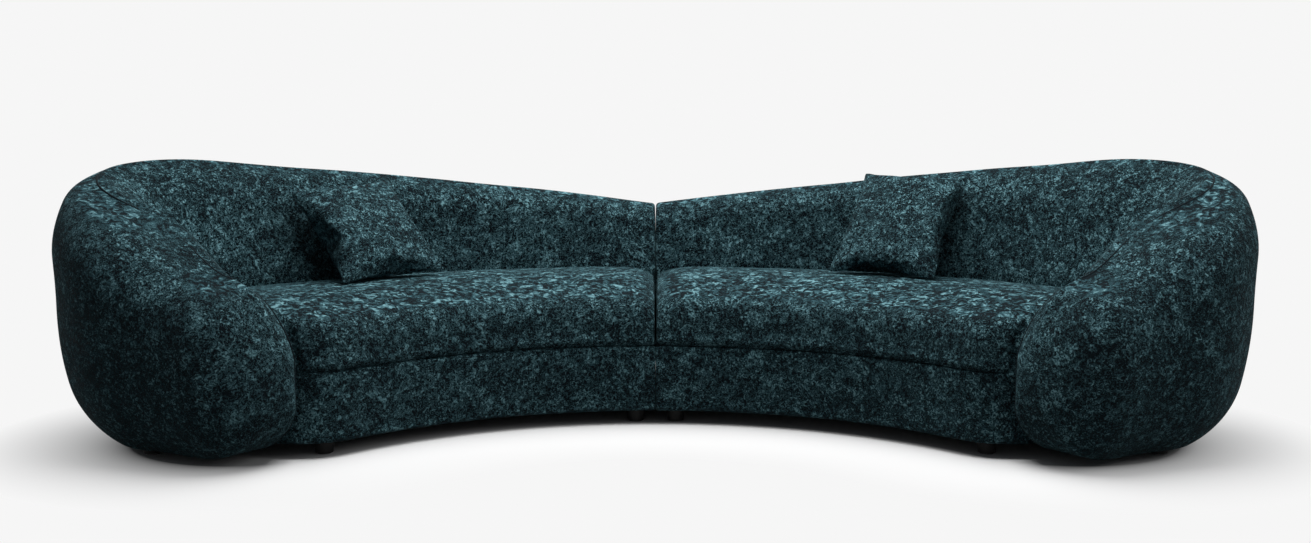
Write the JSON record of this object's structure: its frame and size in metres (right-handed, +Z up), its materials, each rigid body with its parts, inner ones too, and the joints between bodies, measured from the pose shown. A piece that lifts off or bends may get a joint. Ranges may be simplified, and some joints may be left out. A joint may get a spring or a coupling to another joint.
{
  "type": "curved sofa",
  "caption": "Crescent-shaped upholstered sofa with a rolled wrap-round back swelling into rounded arms, low seat, tapered black feet and loose square pillows.",
  "frame": {"origin": "middle of the footprint, on the floor", "axes": "+X along the sofa's length to the sitter's left as seen from the front, -Y towards the seat front, +Z up"},
  "size_m": [3.4638, 1.5438, 0.8118],
  "materials": {
    "velvet": "mottled crushed chenille velvet in dark teal, over foam",
    "plywood": "bare plywood",
    "hardboard": "thin pressed board",
    "timber": "bare sawn timber",
    "dust_cloth": "thin black non-woven cloth",
    "webbing": "black elastic webbing",
    "zinc_steel": "zinc-plated steel",
    "black_foot": "smooth black, slight sheen",
    "glide_plastic": "hard plastic glide",
    "fibre_fill": "white fibre filling"
  },
  "bodies": {
    "left_module": {"left_back_and_arm": "velvet", "left_back_board": "hardboard", "left_base_panel": "plywood", "left_connector_screws": "zinc_steel", "left_connector_sockets": "zinc_steel", "left_cross_rails": "timber", "left_dust_cover": "dust_cloth", "left_end_rail": "timber", "left_feet": "black_foot", "left_formers": "plywood", "left_front_border": "velvet", "left_front_rail": "timber", "left_glides": "glide_plastic", "left_rear_rail": "timber", "left_seat_cushion": "velvet", "left_straps": "webbing"},
    "right_module": {"right_back_and_arm": "velvet", "right_back_board": "hardboard", "right_base_panel": "plywood", "right_connector_screws": "zinc_steel", "right_connector_tongues": "zinc_steel", "right_cross_rails": "timber", "right_dust_cover": "dust_cloth", "right_end_rail": "timber", "right_feet": "black_foot", "right_formers": "plywood", "right_front_border": "velvet", "right_front_rail": "timber", "right_glides": "glide_plastic", "right_rear_rail": "timber", "right_seat_cushion": "velvet", "right_straps": "webbing"},
    "left_pillow": {"left_pillow_cover": "velvet", "left_pillow_filling": "fibre_fill"},
    "right_pillow": {"right_pillow_cover": "velvet", "right_pillow_filling": "fibre_fill"}
  },
  "joints": [
    {"name": "right_module_lift", "type": "slide", "parent": "left_module", "child": "right_module", "axis": [0, 0, 1], "range_m": [0, 0.08]},
    {"name": "left_pillow_lift", "type": "slide", "parent": "left_module", "child": "left_pillow", "axis": [0, 0, 1], "range_m": [0, 0.5]},
    {"name": "right_pillow_lift", "type": "slide", "parent": "right_module", "child": "right_pillow", "axis": [0, 0, 1], "range_m": [0, 0.5]}
  ]
}
